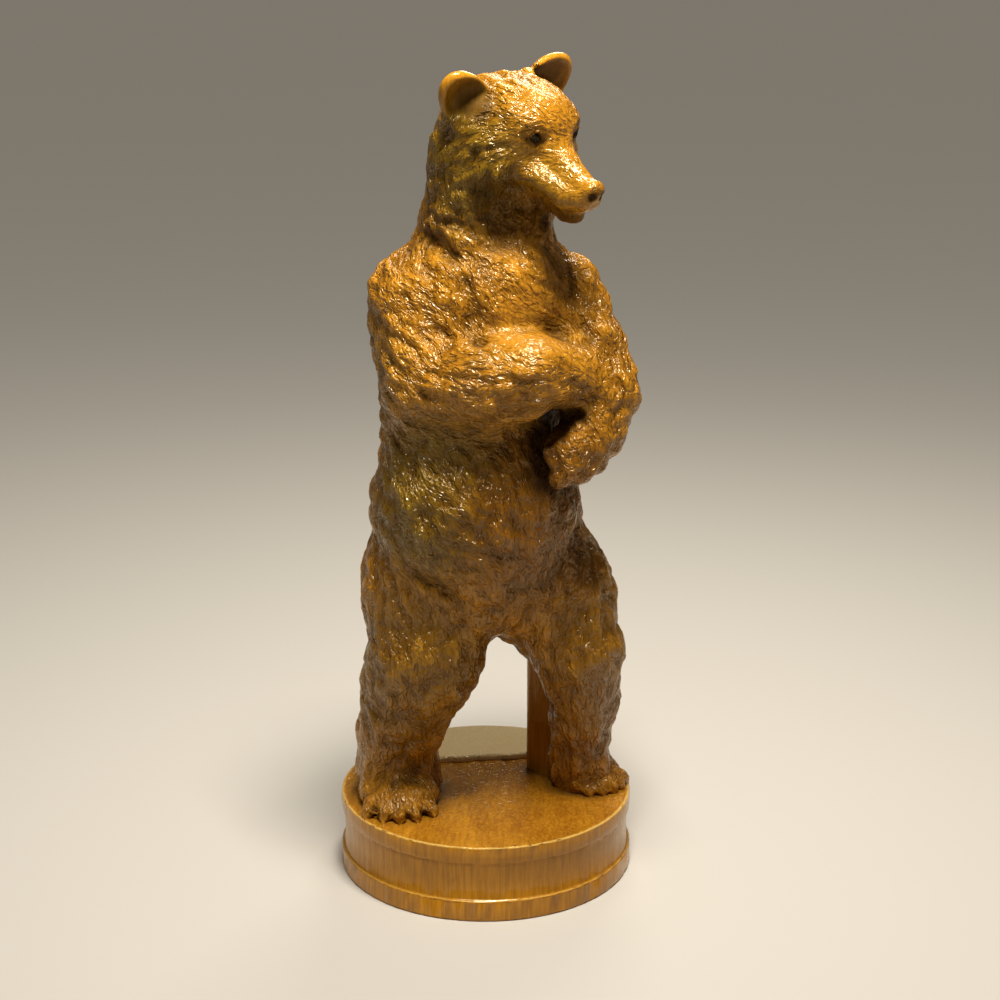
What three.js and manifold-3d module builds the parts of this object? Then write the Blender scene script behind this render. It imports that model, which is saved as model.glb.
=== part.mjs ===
// A small bear carved upright on a round turned plinth, bear and plinth cut from one block of wood.
//
// Millimetres, +Z up. The origin is the centre of the plinth's underside. The bear's chest faces -Y
// and its left side is towards +X. The head looks towards the bear's left.

import * as THREE from 'three';
import { mergeVertices } from 'three/addons/utils/BufferGeometryUtils.js';
import Module from 'manifold-3d';

// ---------------------------------------------------------------- driving dimensions

const PLINTH = {
  footRadius: 17.5,    // the widest ring, which stands on the table
  footBand: 2.5,       // its height
  waistRadius: 17.05,  // the plain band between the foot and the lip
  lipRadius: 17.4,     // the nearly square lip round the top
  lipBand: 1.9,
  height: 9.1,
  sides: 72,           // facets round the plinth
};

const LEDGE = {        // the rough step left behind the feet
  height: 0.7,
  inset: 0.75,         // from the plinth's edge
  front: 7.0,          // how far behind the middle it starts
  turn: 13,            // degrees that its front edge is turned by
};

const SOLE = PLINTH.height - 0.3;    // the feet sink this little into the plinth

const SPINE = {        // centres down the middle of the bear
  crown: [2.4, 0.6, 84.0],
  nape: [1.2, 0.8, 79.0],
  withers: [0.0, 1.8, 70.0],
  shoulders: [0.2, 0.4, 67.4],
  hump: [0.2, 5.0, 67.5],
  breast: [1.4, -3.4, 69.4],
  chest: [-1.2, 0.6, 57.0],
  belly: [-1.6, -0.8, 45.0],
  pelvis: [-0.9, 1.0, 37.0],
  rump: [0.0, 5.5, 35.5],
  tail: [0.0, 13.4, 34.0],
};

const HEAD = {
  centre: [3.0, -2.3, 87.0],
  turn: [10, -1, 21],  // degrees: nodding down, tilting, looking to the bear's left
};

const RIGHT_ARM = {    // lies across the front of the body
  shoulder: [-7.6, 1.4, 68.0],
  top: [-7.0, 2.6, 68.6],
  middle: [-7.5, -0.6, 63.4],
  elbow: [-7.3, -2.5, 59.9],
  forearm: [-3.4, -7.7, 61.0],
  wrist: [1.2, -10.8, 62.0],
  paw: [5.4, -10.8, 61.4],
};

const LEFT_ARM = {     // hangs bent below the right paw
  shoulder: [8.4, -1.6, 67.8],
  top: [8.7, -3.2, 68.4],
  middle: [9.5, -6.6, 63.6],
  elbow: [9.9, -9.4, 59.1],
  forearm: [8.3, -11.2, 55.2],
  wrist: [6.2, -12.0, 53.0],
  paw: [4.3, -12.6, 52.2],
  pad: [6.0, -9.6, 55.2],     // the wood left between the paw and the belly
};

const RIGHT_LEG = {
  haunch: [-6.6, 1.6, 34.0],
  hip: [-6.4, 1.2, 34.0],
  knee: [-8.0, -1.4, 27.6],
  shin: [-9.6, 0.8, 21.4],
  ankle: [-10.1, 2.8, 16.0],
  instep: [-10.0, 3.2, 11.0],
  heel: [-9.2, 5.2, SOLE],
  turnOut: -19,        // degrees that the foot is turned by
  footLength: 13.4,
  footHalfWidth: 4.8,
};

const LEFT_LEG = {
  haunch: [7.6, -1.4, 34.0],
  crotch: [1.4, -1.0, 33.0],
  innerThigh: [5.4, -1.8, 29.0],
  hip: [8.0, -2.1, 33.6],
  knee: [9.5, -5.2, 27.0],
  shin: [10.6, -4.6, 20.6],
  ankle: [10.6, -4.0, 15.0],
  instep: [10.6, -3.8, 11.0],
  heel: [11.0, -0.4, SOLE],
  turnOut: 19,
  footLength: 9.0,
  footHalfWidth: 3.7,
};

const POST = {         // the squared post of wood left behind the left leg, up to the rump
  centre: [9.0, 1.6, 21.0],
  halfSize: [1.9, 2.2, 13.0],
  turn: 25,
};

const GRID = {         // the fineness of the faceted carving
  step: 1.78,          // at the body
  headShare: 0.65,     // the head's step, as a share of the body's
  reach: 18.8,         // half the width covered at the body
  bottom: PLINTH.height - 5.5,
  top: 98,
  headStart: 72,       // the step shrinks between these two heights
  headFull: 82,
  headAxis: [3.0, -3.0],
};

const WOOD = { color: 0xb87c2b, roughness: 0.32, metalness: 0.0 };

// ---------------------------------------------------------------- rounded shapes
// Each shape is a function from a point to its distance outside the surface (negative inside),
// with a blend width that says how softly it runs into the shapes before it.

const vector = ([x, y, z]) => new THREE.Vector3(x, y, z);

function rotation([x, y, z]) {
  const { degToRad } = THREE.MathUtils;
  return new THREE.Quaternion().setFromEuler(new THREE.Euler(degToRad(x), degToRad(y), degToRad(z), 'ZYX'));
}

function lump(centre, radii, blend, turn = [0, 0, 0]) {
  const at = vector(centre);
  const back = rotation(turn).invert();
  const [a, b, c] = radii;
  const distance = (point) => {
    const p = point.clone().sub(at).applyQuaternion(back);
    const ratio = Math.hypot(p.x / a, p.y / b, p.z / c);
    const slope = Math.hypot(p.x / (a * a), p.y / (b * b), p.z / (c * c));
    return slope > 0 ? ratio * (ratio - 1) / slope : -Math.min(a, b, c);
  };
  return { distance, blend };
}

// A limb is a chain of round-ended tapers through stations of [centre, radius].
function limb(stations, blend) {
  const bones = [];
  for (let i = 1; i < stations.length; i += 1) {
    const [from, startRadius] = stations[i - 1];
    const [to, endRadius] = stations[i];
    bones.push({ line: new THREE.Line3(vector(from), vector(to)), startRadius, endRadius });
  }
  const nearest = new THREE.Vector3();
  const distance = (point) => Math.min(...bones.map(({ line, startRadius, endRadius }) => {
    const share = line.closestPointToPointParameter(point, true);
    line.at(share, nearest);
    return point.distanceTo(nearest) - THREE.MathUtils.lerp(startRadius, endRadius, share);
  }));
  return { distance, blend };
}

function slab(centre, halfSize, edge, blend, turn) {
  const at = vector(centre);
  const back = rotation(turn).invert();
  const [a, b, c] = halfSize;
  const distance = (point) => {
    const p = point.clone().sub(at).applyQuaternion(back);
    const x = Math.abs(p.x) - a + edge;
    const y = Math.abs(p.y) - b + edge;
    const z = Math.abs(p.z) - c + edge;
    return Math.hypot(Math.max(x, 0), Math.max(y, 0), Math.max(z, 0)) + Math.min(Math.max(x, y, z), 0) - edge;
  };
  return { distance, blend };
}

const hollow = (shape) => ({ ...shape, hollow: true });

function placed(shapes, origin, turn) {
  const at = vector(origin);
  const back = rotation(turn).invert();
  const inside = (point) => point.clone().sub(at).applyQuaternion(back);
  return shapes.map((shape) => ({ ...shape, distance: (point) => shape.distance(inside(point)) }));
}

function mirrored(shapes) {
  const inside = (point) => new THREE.Vector3(-point.x, point.y, point.z);
  return shapes.map((shape) => ({ ...shape, distance: (point) => shape.distance(inside(point)) }));
}

const bothSides = (shapes) => [...shapes, ...mirrored(shapes)];

function smoothMinimum(a, b, blend) {
  const overlap = Math.max(blend - Math.abs(a - b), 0) / blend;
  return Math.min(a, b) - overlap * overlap * blend / 4;
}

function carvedDistance(shapes, point) {
  let value = Infinity;
  for (const shape of shapes) {
    const distance = shape.distance(point);
    value = shape.hollow
      ? -smoothMinimum(-value, distance, shape.blend)
      : smoothMinimum(value, distance, shape.blend);
  }
  return value;
}

// ---------------------------------------------------------------- the bear

// The ear's own frame: a scooped leaf that stands up, with its hollow towards -Y.
function ear(width, length) {
  return [
    lump([0, 0, 0], [width, 2.0, length], 1.0),
    hollow(lump([0, -2.6, -0.1], [width - 0.5, 2.0, length - 0.5], 0.6)),
  ];
}

// The head's own frame: the nose points to -Y and the bear's left ear is at +X.
function head() {
  const middle = [
    lump([0, 0.8, 0.4], [6.2, 7.2, 6.2], 1.0),
    lump([0, -2.6, 1.8], [4.7, 4.2, 4.0], 1.4),
    limb([[[0, -4.0, 0.2], 2.6], [[0, -8.6, -2.2], 1.8], [[0, -11.4, -3.2], 1.4]], 1.0),
    limb([[[0, -3.4, -5.0], 2.4], [[0, -7.8, -6.1], 1.7], [[0, -10.0, -5.6], 1.3]], 1.0),
    limb([[[0.4, -3.4, -9.4], 2.8], [[0, -2.2, -13.0], 4.4]], 1.6),
  ];
  const temple = lump([3.6, 3.0, 0.2], [3.8, 4.2, 4.8], 2.0);
  const cheek = lump([3.9, -0.4, -2.4], [3.4, 4.4, 3.6], 1.4);
  const ruff = lump([4.6, 3.2, -4.4], [3.8, 4.4, 5.0], 1.4);
  const brow = lump([2.6, -4.8, 2.7], [1.9, 1.7, 1.0], 0.9);
  const lip = limb([[[2.1, -5.0, -2.9], 2.1], [[1.2, -9.3, -4.15], 1.75], [[0.5, -11.4, -4.1], 1.3]], 0.7);
  const underCheek = hollow(lump([5.4, -6.2, -9.2], [5.2, 3.4, 2.6], 2.0, [0, 0, 40]));
  const ears = [
    ...placed(ear(2.9, 4.6), [-6.1, 1.8, 3.3], [14, -42, -26]),
    ...placed(ear(3.2, 4.7), [4.4, 1.8, 4.6], [18, 50, 14]),
  ];
  const nose = lump([0, -12.3, -3.0], [1.4, 1.05, 1.2], 0.3);
  const eye = [
    hollow(lump([3.45, -6.6, 1.35], [1.5, 1.5, 0.95], 0.6, [0, -8, 25])),
    lump([3.05, -5.75, 1.35], [0.95, 0.85, 0.75], 0.1),
  ];
  return [
    ...ears,
    ...middle,
    ...bothSides([temple, cheek, ruff, brow, lip, underCheek]),
    nose,
    ...bothSides(eye),
  ];
}

function trunk() {
  return [
    lump(SPINE.pelvis, [12.8, 11.0, 8.5], 2.5),
    lump(SPINE.belly, [12.2, 11.6, 11.5], 2.5),
    lump(SPINE.chest, [10.6, 10.0, 12.0], 3.0),
    lump(SPINE.shoulders, [10.4, 8.8, 6.6], 3.0),
    lump(SPINE.hump, [8.0, 6.0, 8.0], 3.0),
    lump(SPINE.rump, [10.0, 8.0, 8.5], 3.0),
    lump(SPINE.tail, [1.9, 1.7, 2.4], 1.5),
    limb([[SPINE.withers, 8.6], [SPINE.nape, 7.6], [SPINE.crown, 6.8]], 3.0),
    lump(SPINE.breast, [7.0, 5.4, 6.0], 3.0),
  ];
}

function arm(joints, shoulderRadii, upperRadii, lowerRadii) {
  const upper = [joints.top, joints.middle, joints.elbow];
  const lower = [joints.elbow, joints.forearm, joints.wrist, joints.paw];
  return [
    lump(joints.shoulder, shoulderRadii, 2.0),
    limb(upper.map((centre, i) => [centre, upperRadii[i]]), 2.0),
    limb(lower.map((centre, i) => [centre, lowerRadii[i]]), 2.2),
  ];
}

function leg(joints, haunchRadii, radii) {
  const stations = [joints.hip, joints.knee, joints.shin, joints.ankle, joints.instep];
  return [
    lump(joints.haunch, haunchRadii, 2.0),
    limb(stations.map((centre, i) => [centre, radii[i]]), 1.4),
    ...placed(foot(joints.footHalfWidth, joints.footLength), joints.heel, [0, 0, joints.turnOut]),
  ];
}

// The foot's own frame: the heel is at the origin and the five toes point to -Y.
function foot(halfWidth, length) {
  const toes = [-1, -0.5, 0, 0.5, 1].map((side) => {
    const forward = 1 - side * side;
    const root = [side * halfWidth * 0.64, -length * (0.63 + 0.12 * forward), 1.4];
    const tip = [side * halfWidth * 0.74, -length * (0.80 + 0.13 * forward), 0.8];
    return limb([[root, 1.25], [tip, 0.95]], 0.3);
  });
  return [
    lump([0, -0.31 * length, 1.4], [halfWidth, 0.54 * length, 3.4], 1.0),
    lump([0, -0.08 * length, 2.6], [halfWidth - 0.6, 0.34 * length, 3.2], 1.2),
    ...toes,
  ];
}

function bear() {
  return [
    ...trunk(),
    ...arm(RIGHT_ARM, [5.4, 6.0, 6.0], [5.2, 5.5, 5.5], [5.4, 5.4, 4.7, 3.8]),
    ...arm(LEFT_ARM, [4.4, 5.4, 5.8], [4.5, 4.6, 4.4], [4.4, 3.7, 3.2, 2.6]),
    lump(LEFT_ARM.pad, [4.4, 3.2, 5.2], 1.8),
    ...leg(RIGHT_LEG, [7.6, 8.4, 9.0], [7.2, 6.8, 5.7, 4.9, 4.8]),
    ...leg(LEFT_LEG, [6.8, 7.8, 8.6], [6.6, 5.6, 4.2, 3.6, 3.6]),
    limb([[LEFT_LEG.crotch, 2.6], [LEFT_LEG.innerThigh, 3.2]], 1.0),
    slab(POST.centre, POST.halfSize, 0.3, 0.4, [0, 0, POST.turn]),
    ...placed(head(), HEAD.centre, HEAD.turn),
  ];
}

// ---------------------------------------------------------------- facets

// The carving is sampled on a lattice whose columns lean and narrow towards the head.
function makeLattice(shapes) {
  const share = (z) => {
    const raised = THREE.MathUtils.smoothstep(z, GRID.headStart, GRID.headFull);
    return 1 - (1 - GRID.headShare) * raised;
  };
  const heights = [GRID.bottom];
  while (heights.at(-1) < GRID.top) {
    heights.push(heights.at(-1) + GRID.step * share(heights.at(-1)));
  }
  const across = 2 * Math.ceil(GRID.reach / GRID.step) + 1;
  const size = [across, across, heights.length];
  const nodeAt = (i, j, k) => {
    const scale = share(heights[k]);
    const lean = (1 - scale) / (1 - GRID.headShare);
    const middle = (across - 1) / 2;
    return new THREE.Vector3(
      GRID.headAxis[0] * lean + (i - middle) * GRID.step * scale,
      GRID.headAxis[1] * lean + (j - middle) * GRID.step * scale,
      heights[k],
    );
  };
  const number = (i, j, k) => (k * across + j) * across + i;
  const points = [];
  for (let k = 0; k < size[2]; k += 1) {
    for (let j = 0; j < across; j += 1) {
      for (let i = 0; i < across; i += 1) {
        points.push(nodeAt(i, j, k));
      }
    }
  }
  const values = points.map((point) => carvedDistance(shapes, point));
  return { size, number, points, values };
}

const AXES = [[1, 0, 0], [0, 1, 0], [0, 0, 1]];
const CORNERS = [0, 1, 2, 3, 4, 5, 6, 7].map((n) => [n & 1, (n >> 1) & 1, n >> 2]);
const FACES = [0, 1, 2].flatMap((axis) => [0, 1].map((side) => {
  const [u, v] = [(axis + 1) % 3, (axis + 2) % 3];
  return [[0, 0], [1, 0], [1, 1], [0, 1]].map(([a, b]) => (side << axis) | (a << u) | (b << v));
}));

function eachCell({ size }, visit) {
  for (let k = 0; k < size[2] - 1; k += 1) {
    for (let j = 0; j < size[1] - 1; j += 1) {
      for (let i = 0; i < size[0] - 1; i += 1) {
        visit(i, j, k);
      }
    }
  }
}

// Where wood would meet wood only along an edge or at a point, the gap beside it is filled,
// so that the facets close into one clean skin.
function fillPinches(lattice) {
  const { number, values } = lattice;
  const filling = -0.05 * GRID.step;
  let filled = 1;
  while (filled > 0) {
    filled = 0;
    eachCell(lattice, (i, j, k) => {
      const nodes = CORNERS.map(([a, b, c]) => number(i + a, j + b, k + c));
      for (const [p, q, r, s] of FACES) {
        const [solidP, solidQ, solidR, solidS] = [p, q, r, s].map((corner) => values[nodes[corner]] < 0);
        if (solidP === solidR && solidQ === solidS && solidP !== solidQ) {
          const [first, second] = solidP ? [q, s] : [p, r];
          const thinner = values[nodes[first]] < values[nodes[second]] ? first : second;
          values[nodes[thinner]] = filling;
          filled += 1;
        }
      }
      const solid = nodes.map((node) => values[node] < 0);
      const count = solid.filter(Boolean).length;
      const lone = CORNERS.findIndex((corner, n) => (count === 2 || count === 6)
        && solid[n] === (count === 2) && solid[7 - n] === (count === 2));
      if (lone >= 0) {
        values[nodes[count === 2 ? lone ^ 1 : lone]] = filling;
        filled += 1;
      }
    });
  }
}

// One vertex for each cell that the surface passes through, and one four-sided facet for each
// lattice edge that it crosses.
function carvedGeometry(shapes) {
  const lattice = makeLattice(shapes);
  fillPinches(lattice);
  const { size, number, points, values } = lattice;
  const crossing = (a, b) => points[a].clone().lerp(points[b], values[a] / (values[a] - values[b]));
  const vertexOf = new Map();
  const vertices = [];
  eachCell(lattice, (i, j, k) => {
    const sum = new THREE.Vector3();
    let count = 0;
    CORNERS.forEach(([a, b, c], corner) => AXES.forEach((step, axis) => {
      if (corner & (1 << axis)) return;
      const from = number(i + a, j + b, k + c);
      const to = number(i + a + step[0], j + b + step[1], k + c + step[2]);
      if (values[from] < 0 !== values[to] < 0) {
        sum.add(crossing(from, to));
        count += 1;
      }
    }));
    if (count > 0) {
      vertexOf.set(number(i, j, k), vertices.length);
      vertices.push(onSurface(shapes, sum.divideScalar(count)));
    }
  });
  const triangles = [];
  const ring = [[-1, -1], [0, -1], [0, 0], [-1, 0]];
  for (let k = 1; k < size[2] - 1; k += 1) {
    for (let j = 1; j < size[1] - 1; j += 1) {
      for (let i = 1; i < size[0] - 1; i += 1) {
        AXES.forEach((step, axis) => {
          const from = values[number(i, j, k)] < 0;
          const to = values[number(i + step[0], j + step[1], k + step[2])] < 0;
          if (from === to) return;
          const quad = ring.map(([a, b]) => {
            const cell = [i, j, k];
            cell[(axis + 1) % 3] += a;
            cell[(axis + 2) % 3] += b;
            return vertexOf.get(number(...cell));
          });
          if (!from) quad.reverse();
          const [p, q, r, s] = quad;
          const shorter = vertices[p].distanceTo(vertices[r]) < vertices[q].distanceTo(vertices[s]);
          triangles.push(...(shorter ? [p, q, r, p, r, s] : [q, r, s, q, s, p]));
        });
      }
    }
  }
  const geometry = new THREE.BufferGeometry();
  const positions = vertices.flatMap((v) => v.toArray());
  geometry.setAttribute('position', new THREE.Float32BufferAttribute(positions, 3));
  geometry.setIndex(triangles);
  return geometry;
}

// Moves a vertex straight onto the carved surface, by no more than a fraction of a step.
function onSurface(shapes, point) {
  const probe = 0.05;
  const most = 0.15 * GRID.step;
  const value = carvedDistance(shapes, point);
  const slope = new THREE.Vector3(...AXES.map((axis) => {
    const ahead = point.clone().addScaledVector(vector(axis), probe);
    return (carvedDistance(shapes, ahead) - value) / probe;
  }));
  const move = slope.multiplyScalar(-value / Math.max(slope.lengthSq(), 0.1));
  return point.clone().add(move.clampLength(0, most));
}

// ---------------------------------------------------------------- the plinth

function plinthGeometry() {
  const { footRadius, footBand, waistRadius, lipRadius, lipBand, height, sides } = PLINTH;
  const edge = 0.3;
  const lipStart = height - lipBand;
  const profile = [
    [0, 0],
    [footRadius - edge, 0],
    [footRadius, edge],
    [footRadius, footBand - edge],
    [footRadius - edge, footBand],
    [waistRadius, footBand + edge],
    [waistRadius, lipStart],
    [lipRadius - edge, lipStart],
    [lipRadius, lipStart + 2 * edge],
    [lipRadius, height - edge],
    [lipRadius - edge, height],
    [0, height],
  ];
  const lathe = new THREE.LatheGeometry(profile.map(([r, z]) => new THREE.Vector2(r, z)), sides);
  return lathe.rotateX(Math.PI / 2);
}

function ledgeGeometry() {
  const radius = PLINTH.lipRadius - LEDGE.inset;
  const halfAngle = Math.acos(LEDGE.front / radius);
  const outline = new THREE.Shape().absarc(0, 0, radius, Math.PI / 2 - halfAngle, Math.PI / 2 + halfAngle);
  const sunk = 0.5;
  const settings = { depth: LEDGE.height + sunk, bevelEnabled: false, curveSegments: 24 };
  return new THREE.ExtrudeGeometry(outline, settings)
    .translate(0, 0, PLINTH.height - sunk)
    .rotateZ(THREE.MathUtils.degToRad(-LEDGE.turn));
}

// ---------------------------------------------------------------- one solid

const wasm = await Module();
wasm.setup();

function toSolid(geometry) {
  geometry.deleteAttribute('normal');
  geometry.deleteAttribute('uv');
  const merged = mergeVertices(geometry, 1e-4);
  const { array } = merged.index;
  const corners = [];
  for (let n = 0; n < array.length; n += 3) {
    const [a, b, c] = array.slice(n, n + 3);
    if (a !== b && b !== c && c !== a) corners.push(a, b, c);
  }
  return new wasm.Manifold(new wasm.Mesh({
    numProp: 3,
    vertProperties: Float32Array.from(merged.attributes.position.array),
    triVerts: Uint32Array.from(corners),
  }));
}

function toMesh(name, solid) {
  const { vertProperties, triVerts } = solid.getMesh();
  const geometry = new THREE.BufferGeometry();
  geometry.setAttribute('position', new THREE.BufferAttribute(vertProperties, 3));
  geometry.setIndex(new THREE.BufferAttribute(triVerts, 1));
  geometry.computeVertexNormals();
  const mesh = new THREE.Mesh(geometry, new THREE.MeshStandardMaterial(WOOD));
  mesh.name = name;
  return mesh;
}

const plinth = toSolid(plinthGeometry()).add(toSolid(ledgeGeometry()));
const carving = plinth.add(toSolid(carvedGeometry(bear())));

const part = new THREE.Group();
part.name = 'bear_on_plinth';
part.add(toMesh('carved_bear', carving));

export default part;
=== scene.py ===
"""A small varnished wooden bear carved upright on a round turned plinth, seen in a plain studio.

Bear and plinth are one skin. Rounded shapes are blended into a field of distances, the field is
meshed finely and joined to the turned plinth, and the coat is then cut into the skin along the
lie of the hair. The sculpting is in millimetres, and `unit` turns it into the frame's metres.
"""

import copy
import math

import bpy
import numpy as np
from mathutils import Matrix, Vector


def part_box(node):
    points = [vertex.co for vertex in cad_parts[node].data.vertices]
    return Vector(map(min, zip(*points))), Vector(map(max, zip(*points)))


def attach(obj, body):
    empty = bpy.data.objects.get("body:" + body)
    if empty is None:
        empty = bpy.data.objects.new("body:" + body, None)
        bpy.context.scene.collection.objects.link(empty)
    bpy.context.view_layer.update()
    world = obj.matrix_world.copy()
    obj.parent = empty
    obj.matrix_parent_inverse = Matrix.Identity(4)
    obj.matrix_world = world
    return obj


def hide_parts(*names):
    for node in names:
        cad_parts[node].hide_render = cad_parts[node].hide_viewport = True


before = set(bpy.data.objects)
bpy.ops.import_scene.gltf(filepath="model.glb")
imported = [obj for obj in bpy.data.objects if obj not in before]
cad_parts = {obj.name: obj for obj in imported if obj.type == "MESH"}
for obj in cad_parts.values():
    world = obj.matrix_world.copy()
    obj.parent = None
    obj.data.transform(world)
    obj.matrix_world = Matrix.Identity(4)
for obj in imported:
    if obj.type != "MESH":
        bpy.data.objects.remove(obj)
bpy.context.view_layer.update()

# ---- driving dimensions (mm)

NODE = "carved_bear"
box_low, box_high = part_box(NODE)
PLINTH_WIDTH = 35.0
unit = (box_high.x - box_low.x) / PLINTH_WIDTH  # metres for one millimetre

PLINTH_TOP = 9.1
FOOT_RADIUS = PLINTH_WIDTH / 2  # the ring that it stands on
FOOT_BAND = 2.5
LIP_RADIUS = 17.35
LIP_BAND = 1.9
COVE = 0.3  # the waist's step in, below the lip
WAIST_RADIUS = LIP_RADIUS - COVE
SOLE = PLINTH_TOP - 0.3  # the feet sink this little into the plinth
LEDGE_HEIGHT = 0.65  # the rough step left behind the feet
LEDGE_FRONT = 7.0
LEDGE_TURN = math.radians(-13)

BODY_STEP = 0.39  # lattice step at the body
HEAD_SHARE = 0.64  # the head's step, as a share of the body's
HEAD_START, HEAD_FULL = 72.0, 82.0  # the step shrinks between these two heights
HEAD_AXIS = (3.0, -2.8)
REACH = 18.6  # half the width that the lattice covers
LATTICE_TOP = 97.5
LATTICE_BOTTOM = PLINTH_TOP - 5.5
FAR = 6.0  # distances are kept up to here

SEED = 7
AXES = range(3)
UP = (0.0, 0.0, 1.0)

# ---- rounded shapes


def turning(degrees):
    """The matrix that turns about x, then y, then z."""
    ax, ay, az = np.radians(degrees)
    about_x = np.array([[1, 0, 0], [0, math.cos(ax), -math.sin(ax)], [0, math.sin(ax), math.cos(ax)]])
    about_y = np.array([[math.cos(ay), 0, math.sin(ay)], [0, 1, 0], [-math.sin(ay), 0, math.cos(ay)]])
    about_z = np.array([[math.cos(az), -math.sin(az), 0], [math.sin(az), math.cos(az), 0], [0, 0, 1]])
    return about_z @ about_y @ about_x


class Lump:
    """An ellipsoid."""

    def __init__(self, centre, radii, blend, turn=(0, 0, 0), cut=False):
        self.centre = np.array(centre, float)
        self.radii = np.array(radii, float)
        self.matrix = turning(turn)
        self.blend = blend
        self.cut = cut

    def moved(self, matrix, origin):
        other = copy.copy(self)
        other.centre = matrix @ self.centre + origin
        other.matrix = matrix @ self.matrix
        return other

    def reach(self):
        half = np.sqrt((self.matrix ** 2) @ (self.radii ** 2))
        return self.centre - half, self.centre + half

    def distance(self, x, y, z):
        local = in_frame(self.matrix, self.centre, x, y, z)
        ratio = np.sqrt(sum((p / r) ** 2 for p, r in zip(local, self.radii)))
        slope = np.sqrt(sum((p / r ** 2) ** 2 for p, r in zip(local, self.radii)))
        return ratio * (ratio - 1) / np.maximum(slope, 1e-9)


class Limb:
    """A chain of round-ended tapers through (x, y, z, radius) stations."""

    def __init__(self, stations, blend, cut=False):
        self.stations = np.array(stations, float)
        self.blend = blend
        self.cut = cut

    def moved(self, matrix, origin):
        centres = self.stations[:, :3] @ matrix.T + origin
        return Limb(np.column_stack([centres, self.stations[:, 3]]), self.blend, self.cut)

    def reach(self):
        centres, radii = self.stations[:, :3], self.stations[:, 3:]
        return (centres - radii).min(0), (centres + radii).max(0)

    def distance(self, x, y, z):
        nearest = None
        for start, end in zip(self.stations[:-1], self.stations[1:]):
            along = end[:3] - start[:3]
            dx, dy, dz = x - start[0], y - start[1], z - start[2]
            share = np.clip((dx * along[0] + dy * along[1] + dz * along[2]) / (along @ along), 0, 1)
            gap = np.sqrt((dx - share * along[0]) ** 2 + (dy - share * along[1]) ** 2
                          + (dz - share * along[2]) ** 2)
            gap = gap - (start[3] + (end[3] - start[3]) * share)
            nearest = gap if nearest is None else np.minimum(nearest, gap)
        return nearest


class Slab(Lump):
    """A box with rounded edges. Its radii are half its sides."""

    def __init__(self, centre, radii, edge, blend, turn):
        super().__init__(centre, radii, blend, turn)
        self.edge = edge

    def reach(self):
        half = np.abs(self.matrix) @ self.radii
        return self.centre - half, self.centre + half

    def distance(self, x, y, z):
        local = in_frame(self.matrix, self.centre, x, y, z)
        past = [np.abs(p) - r + self.edge for p, r in zip(local, self.radii)]
        outside = np.sqrt(sum(np.maximum(p, 0) ** 2 for p in past))
        return outside + np.minimum(np.maximum.reduce(past), 0) - self.edge


def in_frame(matrix, centre, x, y, z):
    """A point's coordinates in a turned shape's own frame."""
    dx, dy, dz = x - centre[0], y - centre[1], z - centre[2]
    return [dx * matrix[0, n] + dy * matrix[1, n] + dz * matrix[2, n] for n in AXES]


def placed(shapes, origin, turn):
    matrix = turning(turn)
    return [shape.moved(matrix, np.array(origin, float)) for shape in shapes]


def both_sides(shapes):
    """The shapes and their twins beyond x = 0. Each one is symmetric about its own middle."""
    return shapes + [shape.moved(np.diag([-1.0, 1.0, 1.0]), np.zeros(3)) for shape in shapes]


# ---- the field of distances


def smooth_step(value, start, end):
    share = np.clip((value - start) / (end - start), 0, 1)
    return share * share * (3 - 2 * share)


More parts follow.
